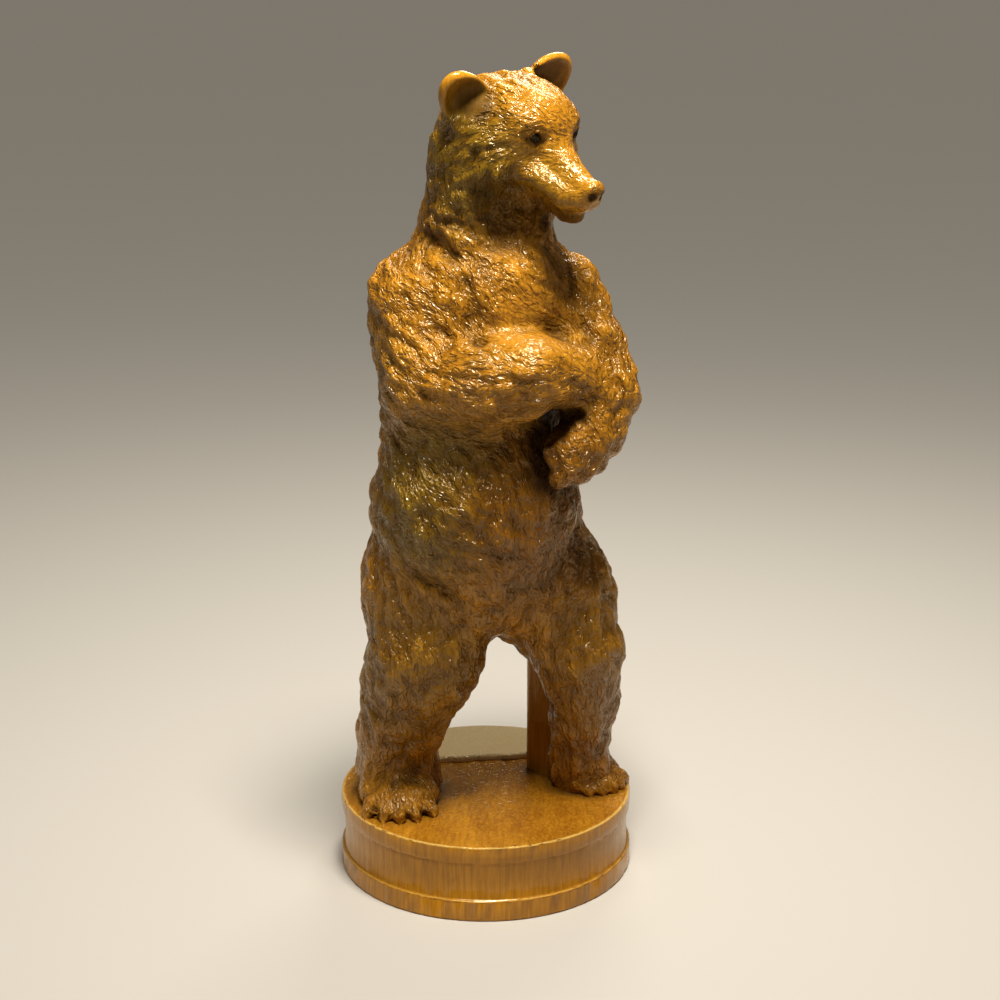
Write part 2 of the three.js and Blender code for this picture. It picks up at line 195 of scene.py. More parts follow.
class Lattice:
    """Distances to the carved surface on columns that lean and narrow towards the head."""

    def __init__(self, step):
        heights = [LATTICE_BOTTOM]
        while heights[-1] < LATTICE_TOP:
            heights.append(heights[-1] + step * self.share(heights[-1]))
        self.z = np.array(heights)
        self.scale = self.share(self.z)
        lean = (1 - self.scale) / (1 - HEAD_SHARE)
        self.middle_x = HEAD_AXIS[0] * lean
        self.middle_y = HEAD_AXIS[1] * lean
        count = math.ceil(REACH / step)
        self.side = np.arange(-count, count + 1) * step
        self.step = step
        self.values = np.full((len(self.side), len(self.side), len(self.z)), FAR, np.float32)

    @staticmethod
    def share(height):
        return 1 - (1 - HEAD_SHARE) * smooth_step(height, HEAD_START, HEAD_FULL)

    def block(self, low, high):
        """The part of the lattice that covers a box, with its nodes' places."""
        k0 = max(0, np.searchsorted(self.z, low[2]) - 1)
        k1 = min(len(self.z), np.searchsorted(self.z, high[2]) + 1)
        if k1 <= k0:
            return None
        scale, middle_x, middle_y = (a[k0:k1] for a in (self.scale, self.middle_x, self.middle_y))
        ends = []
        for n, middle in ((0, middle_x), (1, middle_y)):
            first = np.searchsorted(self.side, ((low[n] - middle) / scale).min()) - 1
            last = np.searchsorted(self.side, ((high[n] - middle) / scale).max()) + 1
            ends += [max(0, first), min(len(self.side), last)]
        i0, i1, j0, j1 = ends
        if i1 <= i0 or j1 <= j0:
            return None
        x = middle_x + self.side[i0:i1, None, None] * scale
        y = middle_y + self.side[None, j0:j1, None] * scale
        z = np.broadcast_to(self.z[k0:k1], (1, 1, k1 - k0))
        return (slice(i0, i1), slice(j0, j1), slice(k0, k1)), x, y, z

    def carve(self, shape):
        low, high = shape.reach()
        margin = max(shape.blend, 1.0) + 2.0
        block = self.block(low - margin, high + margin)
        if block is None:
            return
        part, x, y, z = block
        old = self.values[part]
        new = shape.distance(x, y, z)
        if shape.cut:
            self.values[part] = -smooth_minimum(-old, new, shape.blend)
        else:
            self.values[part] = np.minimum(smooth_minimum(old, new, shape.blend), FAR)

    def places(self, index):
        """Positions of fractional lattice indices."""
        levels = np.arange(len(self.z))
        scale = np.interp(index[:, 2], levels, self.scale)
        x = np.interp(index[:, 2], levels, self.middle_x) + (self.side[0] + index[:, 0] * self.step) * scale
        y = np.interp(index[:, 2], levels, self.middle_y) + (self.side[0] + index[:, 1] * self.step) * scale
        return np.column_stack([x, y, np.interp(index[:, 2], levels, self.z)])

    def sample(self, points):
        """Distances at any points, and FAR outside the lattice."""
        level = np.interp(points[:, 2], self.z, np.arange(len(self.z)))
        scale = np.interp(points[:, 2], self.z, self.scale)
        x = (points[:, 0] - np.interp(points[:, 2], self.z, self.middle_x)) / scale
        y = (points[:, 1] - np.interp(points[:, 2], self.z, self.middle_y)) / scale
        index = np.column_stack([(x - self.side[0]) / self.step, (y - self.side[0]) / self.step, level])
        return blended(self.values, index)

    def slope(self, points, reach):
        """The unit direction in which the distance grows."""
        slope = np.empty_like(points)
        for axis in AXES:
            offset = np.zeros(3)
            offset[axis] = reach
            slope[:, axis] = self.sample(points + offset) - self.sample(points - offset)
        return unit_length(slope)


def smooth_minimum(a, b, blend):
    overlap = np.maximum(blend - np.abs(a - b), 0) / blend
    return np.minimum(a, b) - overlap * overlap * blend / 4


def unit_length(vectors):
    return vectors / np.maximum(np.linalg.norm(vectors, axis=1, keepdims=True), 1e-9)


def blended(values, index):
    """Trilinear samples of a 3D array, or of one with a last axis of components."""
    most = np.array(values.shape[:3]) - 2
    inside = np.clip(index, 0, most + 0.999)
    base = np.minimum(inside.astype(int), most)
    share = inside - base
    total = 0
    for corner in np.ndindex(2, 2, 2):
        weight = np.prod(np.where(corner, share, 1 - share), axis=1)
        found = values[tuple((base + corner).T)]
        total = total + (weight[:, None] if found.ndim == 2 else weight) * found
    return total


# ---- the bear

SPINE = {
    "crown": (2.4, 0.6, 84),
    "nape": (1.2, 0.8, 79),
    "withers": (0, 1.8, 70),
    "shoulders": (0.2, 0.4, 67.4),
    "hump": (0.2, 5, 67.5),
    "chest": (-1.2, 0.6, 57),
    "belly": (-1.6, -0.8, 45),
    "pelvis": (-0.9, 1, 37),
    "rump": (0, 5.5, 35.5),
    "tail": (0, 13.4, 34),
}
HEAD_CENTRE = (3, -2.3, 87)
HEAD_TURN = (10, -1, 21)

RIGHT_ARM = {
    "shoulder": (-7.6, 1.4, 68),
    "upper": [(-7, 2.6, 68.6, 5.2), (-7.5, -0.6, 63.4, 5.5), (-7.4, -2.6, 60, 5.5)],
    "lower": [(-7.3, -2.4, 59.8, 5.4), (-3.4, -7.7, 61, 5.4), (1.2, -10.8, 62, 4.7),
              (5.4, -10.8, 61.4, 3.8)],
}
LEFT_ARM = {
    "shoulder": (8.4, -1.6, 67.8),
    "upper": [(8.7, -3.2, 68.4, 4.5), (9.5, -6.6, 63.6, 4.6), (9.9, -9.4, 59.1, 4.4)],
    "lower": [(9.9, -9.4, 59.1, 4.4), (8.3, -11.2, 55.2, 3.7), (6.2, -12, 53, 3.2)],
}
FINGERS = 4
RIGHT_LEG = [(-6.4, 1.2, 34, 7.2), (-8, -1.4, 27.6, 6.8), (-9.6, 0.8, 21.4, 5.7),
             (-10.1, 2.8, 16, 4.9), (-10, 3.2, 11, 4.8)]
LEFT_LEG = [(8, -2.1, 33.6, 6.6), (9.5, -5.2, 27, 5.6), (10.6, -4.6, 20.6, 4.2),
            (10.6, -4, 15, 3.5), (10.6, -3.8, 11, 3.6)]


def ear(width, length):
    """A scooped leaf. In its own frame it stands up and its hollow faces -y."""
    return [
        Lump((0, 0, 0), (width, 1.4, length), 0.7),
        Lump((0, -1.4, -0.5), (width + 0.05, 2.0, length + 0.05), 0.25, cut=True),
    ]


def ears():
    return (placed(ear(2.9, 4.6), (-6.1, 1.8, 3.3), (14, -42, -26))
            + placed(ear(3.2, 4.7), (4.4, 1.8, 4.6), (18, 50, 14)))


def head():
    """In its own frame the nose points to -y and the bear's left ear is at +x."""
    middle = [
        Lump((0, 0.8, 0.4), (6.2, 7.2, 6.2), 1.0),
        Lump((0, -2.6, 1.8), (4.7, 4.2, 4.0), 1.4),
        Limb([(0, -4.0, 0.2, 2.6), (0, -8.6, -2.2, 1.8), (0, -11.4, -3.2, 1.4)], 1.0),
        Limb([(0, -3.4, -5.0, 2.4), (0, -7.8, -6.6, 1.3), (0, -10.2, -6.2, 0.95)], 0.3),
        Limb([(0.4, -3.4, -9.4, 2.8), (0.0, -2.2, -13.0, 4.4)], 1.6),
    ]
    temple = Lump((3.6, 3.0, 0.2), (3.8, 4.2, 4.8), 2.0)
    cheek = Lump((3.9, -0.4, -2.4), (3.4, 4.4, 3.6), 1.4)
    ruff = Lump((4.6, 3.2, -4.4), (3.8, 4.4, 5.0), 1.4)
    brow = Lump((2.4, -4.4, 2.6), (1.5, 1.3, 0.75), 1.2)
    lip = Limb([(2.1, -5.0, -2.9, 2.1), (1.2, -9.3, -4.15, 1.75), (0.5, -11.4, -4.1, 1.3)], 0.7)
    nose = Lump((0, -12.3, -3.0), (1.4, 1.05, 1.2), 0.3)
    nostril = Lump((0.75, -13.2, -3.5), (0.4, 0.6, 0.32), 0.2, cut=True)
    under_cheek = Lump((5.4, -6.2, -9.2), (5.2, 3.4, 2.6), 2.0, turn=(0, 0, 40), cut=True)
    mouth = Limb([(1.2, -11.2, -5.6, 0.15), (1.9, -10.0, -5.9, 0.3), (2.8, -7.8, -6.1, 0.5),
                  (3.9, -5.6, -5.7, 0.6), (5.2, -4.4, -5.5, 0.5)], 0.25, cut=True)
    socket = Lump((3.45, -6.6, 1.35), (1.5, 1.5, 0.95), 0.6, turn=(0, -8, 25), cut=True)
    eyeball = Lump((2.7, -5.3, 1.25), (0.85, 0.85, 0.66), 0.1)
    lid = Limb([(3.9, -5.2, 1.6, 0.1), (3.3, -5.8, 2.0, 0.14),
                (2.6, -6.2, 2.0, 0.14), (2.0, -6.4, 1.5, 0.1)], 0.25)
    return (ears() + middle + both_sides([temple, cheek, ruff, brow, lip, under_cheek]) + [nose]
            + both_sides([nostril, mouth, socket, eyeball, lid]))


def trunk():
    return [
        Lump(SPINE["pelvis"], (12.8, 11.0, 8.5), 2.5),
        Lump(SPINE["belly"], (12.2, 11.6, 11.5), 2.5),
        Lump(SPINE["chest"], (10.6, 10.0, 12.0), 3.0),
        Lump(SPINE["shoulders"], (10.4, 8.8, 6.6), 3.0),
        Lump(SPINE["hump"], (8.0, 6.0, 8.0), 3.0),
        Lump(SPINE["rump"], (10.0, 8.0, 8.5), 3.0),
        Lump(SPINE["tail"], (1.9, 1.7, 2.4), 1.5),
        Limb([(*SPINE["withers"], 8.6), (*SPINE["nape"], 7.6), (*SPINE["crown"], 6.8)], 3.0),
        Lump((1.4, -3.4, 69.4), (7.0, 5.4, 6.0), 3.0),
    ]


def fingers(root, tip, spread, size):
    """Finger-like rolls side by side from the wrist, each ending in a short claw."""
    shapes = []
    for place in np.linspace(-0.5, 0.5, FINGERS):
        start = np.array(root) + place * np.array(spread)
        end = np.array(tip) + place * np.array(spread) * 0.9
        claw = end + 0.22 * (end - start) - (0, 0, 0.35)
        shapes.append(Limb([(*start, size), (*end, 0.8 * size)], 0.35))
        shapes.append(Limb([(*end, 0.45 * size), (*claw, 0.2 * size)], 0.2))
    return shapes


def arms():
    return [
        Lump(RIGHT_ARM["shoulder"], (5.4, 6.0, 6.0), 2.0),
        Limb(RIGHT_ARM["upper"], 1.6),
        Limb(RIGHT_ARM["lower"], 1.6),
        Lump(LEFT_ARM["shoulder"], (4.4, 5.4, 5.8), 2.0),
        Limb(LEFT_ARM["upper"], 1.2),
        Limb(LEFT_ARM["lower"], 1.0),
        Lump((5.6, -12.3, 52.8), (3.1, 2.6, 3.0), 1.0),
        *fingers((5.8, -13.1, 53.4), (3.0, -12.8, 51.9), (-0.6, 0.4, 3.9), 1.05),
        Lump((3.4, -11.6, 57.0), (3.3, 2.6, 1.4), 0.9, turn=(0, -18, 0), cut=True),
    ]


def foot(half_width, length):
    """In its own frame the heel is at the origin and the five toes point to -y."""
    shapes = [
        Lump((0, -0.31 * length, 1.2), (half_width, 0.54 * length, 3.2), 1.0),
        Lump((0, -0.08 * length, 2.6), (half_width - 0.6, 0.34 * length, 3.2), 1.2),
    ]
    for side in np.linspace(-1, 1, 5):
        forward = 1 - side * side
        root = np.array([side * half_width * 0.66, -length * (0.62 + 0.12 * forward), 1.5])
        tip = np.array([side * half_width * 0.78, -length * (0.78 + 0.12 * forward), 0.95])
        claw = tip + (tip - root) * 0.45 - (0, 0, 0.5)
        shapes.append(Limb([(*root, 1.05), (*tip, 0.8)], 0.2))
        shapes.append(Limb([(*tip, 0.45), (*claw, 0.25)], 0.15))
    return shapes


def post():
    """Squared wood left standing behind the left leg."""
    return Slab((9.0, 1.6, 21.0), (1.9, 2.2, 13.0), edge=0.3, blend=0.4, turn=(0, 0, 25))


def legs():
    return [
        Lump((-6.6, 1.6, 34.0), (7.6, 8.4, 9.0), 2.0),
        Limb(RIGHT_LEG, 1.4),
        *placed(foot(4.8, 13.2), (-9.2, 5.2, SOLE), (0, 0, -19)),
        Lump((7.6, -1.4, 34.0), (6.8, 7.8, 8.6), 2.0),
        Limb([(1.4, -1.0, 33.0, 2.6), (5.4, -1.8, 29.0, 3.2)], 1.0),
        Limb(LEFT_LEG, 1.4),
        *placed(foot(3.6, 8.5), (10.9, -0.4, SOLE), (0, 0, 18)),
        post(),
    ]


def folds():
    """Creases where limbs press on the body, and the rolls of skin between them."""
    creases = [
        ([(-5.3, -6.6, 72.4, 0.2), (-4.9, -7.9, 69.0, 0.4), (-4.3, -9.2, 65.8, 0.4)], 1.1),  # right armpit
        ([(7.6, -7.4, 71.0, 0.2), (7.4, -9.0, 68.0, 0.3), (7.6, -10.6, 65.4, 0.3)], 1.2),  # left armpit
        ([(0.3, -11.6, 51.0, 0.5), (-0.2, -12.6, 46.0, 0.6), (-0.3, -12.4, 41.2, 0.5)], 1.6),  # belly
        ([(-11.0, -6.5, 39.4, 0.4), (-7.1, -9.4, 36.2, 1.1), (-2.6, -9.2, 32.4, 0.9)], 0.5),  # right groin
        ([(6.9, -9.8, 36.8, 0.5), (2.3, -9.0, 32.4, 0.8)], 0.8),  # left groin
        ([(-5.6, -3.4, 78.0, 0.2), (-4.2, -5.6, 77.2, 0.3), (-1.6, -6.9, 76.2, 0.2)], 1.4),  # neck, upper
        ([(-7.4, 1.6, 76.2, 0.2), (-6.4, -3.4, 74.8, 0.3), (-4.6, -5.8, 73.8, 0.2)], 1.4),  # neck, lower
    ]
    rolls = [
        ([(-6.4, -0.5, 79.2, 0.5), (-5.4, -2.9, 78.6, 0.7), (-4.4, -4.5, 78.1, 0.4)], 0.6),
        ([(-6.6, -0.2, 77.6, 0.6), (-5.2, -3.4, 76.8, 0.9), (-3.4, -5.2, 76.0, 0.6)], 0.6),
        ([(-7.3, 1.1, 75.5, 0.6), (-4.8, -4.6, 74.4, 0.8), (-0.9, -6.5, 73.6, 0.6)], 0.8),
        ([(-7.0, 0.4, 73.8, 1.0), (-5.6, -4.2, 72.6, 1.2), (-3.0, -6.0, 71.6, 1.1)], 1.6),
    ]
    under_jaw = Lump((-0.4, -8.4, 79.4), (5.2, 3.4, 2.4), 2.0, turn=(0, 0, 20), cut=True)
    return ([Limb(stations, blend) for stations, blend in rolls]
            + [Limb(stations, blend, cut=True) for stations, blend in creases] + [under_jaw])


def bear():
    return trunk() + arms() + legs() + placed(head(), HEAD_CENTRE, HEAD_TURN) + folds()


# ---- the skin


def along(axis):
    """Slices of all nodes but the last, and of all but the first, along one axis."""
    low = [slice(None)] * 3
    high = [slice(None)] * 3
    low[axis] = slice(0, -1)
    high[axis] = slice(1, None)
    return tuple(low), tuple(high)


def fill_pinches(values, filling):
    """Where wood would meet wood only along an edge or at a point, fills the gap beside it."""
    changed = True
    while changed:
        solid = values < 0
        changed = False
        for axis in AXES:
            u, v = [n for n in AXES if n != axis]
            quads = {}
            for a, b in np.ndindex(2, 2):
                part = [slice(None)] * 3
                part[u] = slice(a, values.shape[u] - 1 + a)
                part[v] = slice(b, values.shape[v] - 1 + b)
                quads[a, b] = solid[tuple(part)]
            crossed = (quads[0, 0] == quads[1, 1]) & (quads[0, 1] == quads[1, 0])
            crossed &= quads[0, 0] != quads[0, 1]
            for place in np.argwhere(crossed):
                corner = place.copy()
                if quads[0, 0][tuple(place)]:
                    corner[u] += 1
                values[tuple(corner)] = filling
                changed = True
        if changed:
            continue
        nx, ny, nz = np.array(solid.shape) - 1
        corners = np.array([solid[a:a + nx, b:b + ny, c:c + nz] for a, b, c in np.ndindex(2, 2, 2)])
        count = corners.sum(0)
        for first in range(4):
            pair = corners[first] == corners[7 - first]
            lone = pair & (((count == 2) & corners[first]) | ((count == 6) & ~corners[first]))
            for place in np.argwhere(lone):
                is_pair_of_wood = count[tuple(place)] == 2
                step = np.array(np.unravel_index(first ^ 1 if is_pair_of_wood else first, (2, 2, 2)))
                values[tuple(place + step)] = filling
                changed = True


def skin(lattice):
    """One vertex in each cell that the surface passes through, one facet for each edge it crosses."""
    values = lattice.values
    fill_pinches(values, -0.05 * lattice.step)
    solid = values < 0
    cells = np.array(values.shape) - 1
    total = np.zeros((*cells, 3), np.float32)
    count = np.zeros(cells, np.float32)
    edges = []
    for axis in AXES:
        low, high = along(axis)
        nodes = np.argwhere(solid[low] != solid[high])
        before = values[low][tuple(nodes.T)]
        after = values[high][tuple(nodes.T)]
        crossing = nodes.astype(np.float32)
        crossing[:, axis] += before / (before - after)
        around = []
        for du, dv in ((-1, -1), (0, -1), (0, 0), (-1, 0)):
            cell = nodes.copy()
            cell[:, (axis + 1) % 3] += du
            cell[:, (axis + 2) % 3] += dv
            around.append(np.ravel_multi_index(cell.T, cells))
            np.add.at(count.reshape(-1), around[-1], 1)
            np.add.at(total.reshape(-1, 3), around[-1], crossing)
        edges.append((np.array(around).T, solid[low][tuple(nodes.T)]))
    used = count > 0
    number = np.full(cells, -1)
    number[used] = np.arange(used.sum())
    facets = []
    for around, starts_solid in edges:
        quads = number.reshape(-1)[around]
        quads[~starts_solid] = quads[~starts_solid][:, ::-1]
        facets.append(quads)
    vertices = lattice.places(total[used] / count[used][:, None])
    return vertices, np.concatenate(facets)


# ---- the turned plinth


def arc(centre_radius, centre_height, size, start, end, count=8):
    """Points of an arc in the (radius, height) plane; angles are in degrees, 0 pointing outwards."""
    angles = np.radians(np.linspace(start, end, count))
    return [(centre_radius + size * math.cos(a), centre_height + size * math.sin(a)) for a in angles]


def plinth_profile():
    """From the underside's edge up: the foot ring, a plain waist, a small cove and the nearly square lip."""
    edge = 0.25
    crisp = 0.16
    lip_start = PLINTH_TOP - LIP_BAND
    return [
        *arc(FOOT_RADIUS - edge, edge, edge, -90, 0),
        *arc(FOOT_RADIUS - 1.2 * edge, FOOT_BAND - edge, edge, 0, 60),
        (WAIST_RADIUS + 0.12, FOOT_BAND + 0.02),
        (WAIST_RADIUS, FOOT_BAND + 0.15),
        (WAIST_RADIUS - 0.08, (FOOT_BAND + lip_start) / 2),
        (WAIST_RADIUS, lip_start - 2 * COVE),
        *arc(LIP_RADIUS, lip_start - COVE, COVE, 180, 100),
        (LIP_RADIUS + 0.02, lip_start + 0.15),
        (LIP_RADIUS + 0.05, PLINTH_TOP - LIP_BAND / 2),
        *arc(LIP_RADIUS - crisp, PLINTH_TOP - crisp, crisp, 0, 90, 4),
        *[(radius, PLINTH_TOP) for radius in (LIP_RADIUS - 0.4, *range(15, 1, -2))],
    ]


def ring(radii, turn, height):
    return np.column_stack([radii * np.cos(turn), radii * np.sin(turn), np.full(len(turn), height)])


def stacked(rings):
    """The skin over rings of points, from the lowest up, closed by a flat facet at each end."""
    sides = len(rings[0])
    faces = [tuple(range(sides))[::-1], tuple(range((len(rings) - 1) * sides, len(rings) * sides))]
    for level in range(len(rings) - 1):
        for side in range(sides):
            a, b = level * sides + side, level * sides + (side + 1) % sides
            faces.append((a, b, b + sides, a + sides))
    return np.concatenate(rings), faces


def plinth():
    sides = 240
    turn = np.linspace(0, 2 * math.pi, sides, endpoint=False)
    rng = np.random.default_rng(SEED + 30)
    rings = []
    for radius, height in plinth_profile():
        at_edge = smooth_step(height, PLINTH_TOP - 0.3, PLINTH_TOP) + 0.5 * (abs(height - FOOT_BAND) < 0.2)
        at_edge = at_edge * (radius > WAIST_RADIUS)
        chips = at_edge * 0.12 * np.maximum(rng.normal(0, 1, sides) - 0.9, 0)
        rings.append(ring(radius - chips - 0.02 * rng.normal(0, 1, sides), turn, height))
    return stacked(rings)


def ledge():
    """The step behind the feet: an arc along the plinth's rim, closed by a straight but broken front edge."""
    rng = np.random.default_rng(SEED + 20)
    radius = LIP_RADIUS - 0.7
    corner = math.acos(LEDGE_FRONT / radius)
    rim = [(radius * math.sin(a), radius * math.cos(a)) for a in np.linspace(-corner, corner, 40)]
    edge_count = 70
    half = radius * math.sin(corner)
    front = [(x, LEDGE_FRONT) for x in np.linspace(half, -half, edge_count + 2)[1:-1]]
    wobble = np.convolve(rng.normal(0, 0.32, edge_count + 4), np.ones(5) / 5, "valid")
    rings = []
    steps = [(-0.6, 0, 0.6), (0.1, 0, 1.0), (0.8 * LEDGE_HEIGHT, 0.1, 1.6), (LEDGE_HEIGHT, 0.5, 1.2)]
    for height, back, share in steps:
        chipped = share * wobble + rng.normal(0, 0.05, edge_count)
        outline = [*rim, *[(x, y + back + chip) for (x, y), chip in zip(front, chipped)]]
        x, y = np.array(outline[::-1]).T
        c, s = math.cos(LEDGE_TURN), math.sin(LEDGE_TURN)
        rings.append(np.column_stack([c * x - s * y, s * x + c * y, np.full(len(x), PLINTH_TOP + height)]))
    return stacked(rings)


# ---- the coat

# Where the hair lies: places on the bear, and the way the hair points there.
LIE = [
    ((7.5, -13.6, 82.6), (-0.4, 0.9, 0.4)),  # nose, backwards
    ((4.5, -8, 90), (-0.3, 0.8, 0.6)),  # forehead
    ((2.5, 1, 94), (-0.2, 1, -0.1)),  # crown
    ((-3.5, -4, 86), (-0.5, 0.5, -0.7)),  # right cheek
    ((9.5, -4, 86), (0.5, 0.5, -0.7)),  # left cheek
    ((1.5, 8, 84), (0, 0.2, -1)),  # back of the neck
    ((-6.5, 1, 78), (-0.3, -0.3, -0.9)),  # right of the neck
    ((8, -4, 77), (0.3, -0.2, -0.9)),  # left of the neck
    ((-5, -6, 75), (0.5, -0.3, -0.8)),  # throat
    ((2, -8, 71), (0.8, -0.1, -0.6)),  # chest
    ((-11, 1, 69), (0.4, -0.8, -0.5)),  # right shoulder
    ((-11, -1, 62), (0.5, -0.7, -0.5)),  # right upper arm
    ((-9, -5, 57), (0.8, -0.6, -0.1)),  # right elbow
    ((-2, -13, 62), (0.9, -0.4, 0.1)),  # right forearm
    ((5, -16, 61), (1, -0.2, 0)),  # right paw
    ((12.5, -5, 66), (0.1, -0.6, -0.8)),  # left upper arm
    ((13.5, -9, 58), (-0.3, -0.6, -0.7)),  # left elbow
    ((5, -16, 53), (-0.8, -0.3, -0.5)),  # left paw
    ((-9, -8, 50), (0.3, -0.2, -0.9)),  # flank
    ((0, -12, 47), (0.2, 0, -1)),  # belly
    ((-7, -10, 42), (0.6, -0.2, -0.7)),  # lower belly, right
    ((6, -10, 42), (-0.5, -0.2, -0.8)),  # lower belly, left
    ((0, -10, 35), (0.1, 0, -1)),  # groin
    ((-13, -3, 36), (-0.1, -0.3, -0.9)),  # right thigh
    ((-9, -7, 28), (0.3, -0.1, -0.9)),  # right knee
    ((-10, -4, 18), (-0.1, 0, -1)),  # right shin
    ((13, -6, 34), (0.3, -0.2, -0.9)),  # left thigh
    ((10, -10, 27), (0.2, 0, -1)),  # left knee
    ((11, -8, 17), (0.1, 0, -1)),  # left shin
    ((0, 11, 65), (0, 0, -1)),  # back
    ((0, 12, 48), (0, 0, -1)),  # loins
    ((0, 13, 36), (0, -0.1, -1)),  # rump
]
LIE_SPREAD = 6.5  # how far each of them is felt
SWAY = 0.35  # how much the hair wanders from it
SWAY_CELL = 3.2


class Flow:
    """The lie of the coat, kept on a coarse lattice and tangent to the carved surface."""

    def __init__(self, lattice, step=1.2):
        self.step = step
        self.low = np.array([-REACH, -REACH, PLINTH_TOP - 1])
        counts = (np.array([REACH, REACH, LATTICE_TOP - 1]) - self.low) // step + 1
        index = np.stack(np.meshgrid(*[np.arange(n) for n in counts], indexing="ij"), -1)
        points = (index * step + self.low).reshape(-1, 3)
        total = np.zeros_like(points)
        for place, way in LIE:
            nearness = np.exp(-((points - place) ** 2).sum(1) / (2 * LIE_SPREAD ** 2))
            total += (nearness + 1e-9)[:, None] * unit_length(np.array([way], float))
        sway = np.column_stack([Speckle(SEED + 10 + axis).at(points, SWAY_CELL) for axis in AXES])
        total = unit_length(total) + SWAY * sway
        normal = lattice.slope(points, 1.0)
        total -= normal * (total * normal).sum(1, keepdims=True)
        self.values = unit_length(total).reshape(*index.shape)

    def at(self, points):
        return unit_length(blended(self.values, (points - self.low) / self.step))


class Speckle:
    """Smooth random numbers of unit spread that repeat every `SIZE` cells."""

    SIZE = 48

    def __init__(self, seed):
        values = np.random.default_rng(seed).standard_normal((self.SIZE,) * 3)
        self.values = np.pad(values, (0, 2), mode="wrap")

    def at(self, points, cell):
        return blended(self.values, np.mod(points / cell, self.SIZE))


def streaks(points, flow, seed, cell, behind, ahead, steps=7):
    """Speckle smeared along the lie of the coat, so that it turns into strokes."""
    speckle = Speckle(seed)
    total = speckle.at(points, cell)
    for reach, way in ((behind, -1), (ahead, 1)):
        place = points.copy()
        for n in range(1, steps + 1):
            place = place + way * reach / steps * flow.at(place)
            total += speckle.at(place, cell) * (1 - (n - 0.5) / steps)
    return total / total.std()


def near(points, centre, size, softness=2.0):
    """1 within `size` of a centre, and 0 from `softness` further out."""
    distance = np.linalg.norm(points - np.array(centre), axis=1)
    return 1 - smooth_step(distance, size, size + softness)


def face_point(x, y, z):
    """A place in the head's own frame, in the bear's frame."""
    return turning(HEAD_TURN) @ np.array([x, y, z], float) + np.array(HEAD_CENTRE)


def coat_depth(points, snout_share, face_share, ear_share, arm_share):
    """How deep the coat is cut: 1 on the body, and less by each share on the smoother places."""
    snout = near(points, face_point(0, -9.5, -3), 3.6, 4.0)
    face = near(points, face_point(0, -6, 1.6), 4.2, 4.0)
    on_ears = np.maximum(near(points, face_point(-8.0, 1.6, 5.4), 3.0, 0.9),
                         near(points, face_point(6.6, 1.6, 6.6), 3.0, 0.9))
    forearm = near(points, (0.5, -11.0, 66.5), 2.5, 3.5)
    bare = 1 - smooth_step(np.abs(post().distance(*points.T)), 0.1, 0.5)
    smooth = np.maximum.reduce([snout_share * snout, face_share * face, ear_share * on_ears,
                                arm_share * forearm, 0.95 * bare])
    return (1 - smooth) * smooth_step(points[:, 2], PLINTH_TOP, PLINTH_TOP + 1.2)


LOCK_WIDTH = 1.1  # half the width of a lock of hair on the body
LOCK_LENGTH = 2.6  # about half its length
LOCK_AHEAD, LOCK_BEHIND = 1.35, 0.65  # how much of that lies before and behind its middle
LOCK_SIZE_ON_HEAD = 0.7
LOCK_CHANCE = 0.016  # the share of the body's points that start a lock
LOCK_SWAY = 0.16
RELIEF = {"swells": 0.17, "ridges": 0.21, "strands": 0.10, "locks": 0.18}  # mm
DEEPEST_HOLLOW = 0.78  # a hollow's painted shade and pooled varnish stop here, short of a pupil's black


class Locks:
    """Carved locks of hair: long cells along the lie of the coat, each one ending in a raised tip."""

    CELL = 7.0

    def __init__(self, points, flow, seed):
        rng = np.random.default_rng(seed)
        size = 1 - (1 - LOCK_SIZE_ON_HEAD) * smooth_step(points[:, 2], HEAD_START, HEAD_FULL)
        chance = LOCK_CHANCE / size ** 0.6
        chosen = np.flatnonzero(rng.random(len(points)) < chance)
        self.places = points[chosen]
        self.size = size[chosen] * rng.uniform(0.8, 1.25, len(chosen))
        sway = rng.normal(0, LOCK_SWAY, (len(chosen), 3))
        self.ways = unit_length(flow.at(self.places) + sway)
        self.offsets = rng.uniform(0, 50, (len(chosen), 3))
        self.owner, self.height = self.assign(points)

    def assign(self, points):
        """Each point's lock, and how high the point stands in it."""
        owner = np.zeros(len(points), int)
        height = np.zeros(len(points))
        point_cells = np.floor(points / self.CELL).astype(int)
        seed_cells = np.floor(self.places / self.CELL).astype(int)
        for cell in np.unique(point_cells, axis=0):
            mine = np.flatnonzero((point_cells == cell).all(1))
            close = np.flatnonzero((np.abs(seed_cells - cell) <= 1).all(1))
            gap = points[mine, None] - self.places[None, close]
            ahead = (gap * self.ways[close]).sum(2)
            across = np.sqrt(np.maximum((gap ** 2).sum(2) - ahead ** 2, 0))
            reach = np.where(ahead > 0, LOCK_AHEAD, LOCK_BEHIND) * LOCK_LENGTH
            far = np.hypot(ahead / reach, across / LOCK_WIDTH) / self.size[close]
            order = np.argsort(far, axis=1)[:, :2]
            row = np.arange(len(mine))
            first, second = far[row, order[:, 0]], far[row, order[:, 1]]
            owner[mine] = close[order[:, 0]]
            groove = smooth_step(second - first, 0, 0.9)
            rise = np.clip(ahead[row, order[:, 0]] / (LOCK_LENGTH * self.size[owner[mine]]), -1, 1)
            height[mine] = groove * (0.75 + 0.25 * rise) - 0.5
        return owner, height


def creased(noise):
    """Round-topped rolls with narrow creases between them, about half above and half below 0."""
    return np.minimum(np.abs(noise), 1.6) - 0.7


